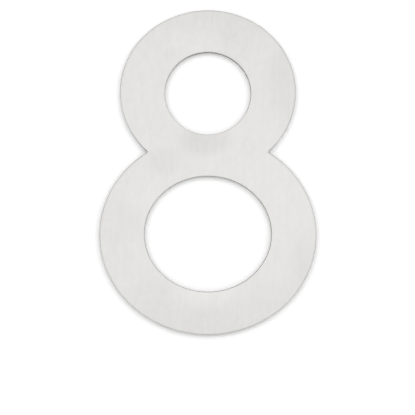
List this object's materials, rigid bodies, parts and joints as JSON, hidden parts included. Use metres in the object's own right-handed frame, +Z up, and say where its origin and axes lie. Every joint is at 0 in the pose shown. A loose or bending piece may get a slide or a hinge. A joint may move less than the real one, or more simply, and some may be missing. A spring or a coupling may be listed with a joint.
{
  "type": "house number",
  "caption": "Flat numeral cut from brushed stainless plate, with an oval counter in each bowl, held flat to a wall by threaded studs screwed into its back.",
  "frame": {"origin": "middle of the four-stud pattern, on the wall's surface, which is the plate's back face", "axes": "+Z up the numeral, +Y into the wall along the studs, +X to the right seen from the front, so the face looks along -Y"},
  "size_m": [0.102, 0.033, 0.1524],
  "materials": {
    "number_plate": "satin brushed stainless steel, with the grain up the numeral",
    "mounting_stud": "plain threaded stainless steel"
  },
  "bodies": {
    "root": {"number_plate": "number_plate", "mounting_stud_upper_left": "mounting_stud", "mounting_stud_upper_right": "mounting_stud", "mounting_stud_lower_left": "mounting_stud", "mounting_stud_lower_right": "mounting_stud"}
  },
  "joints": []
}
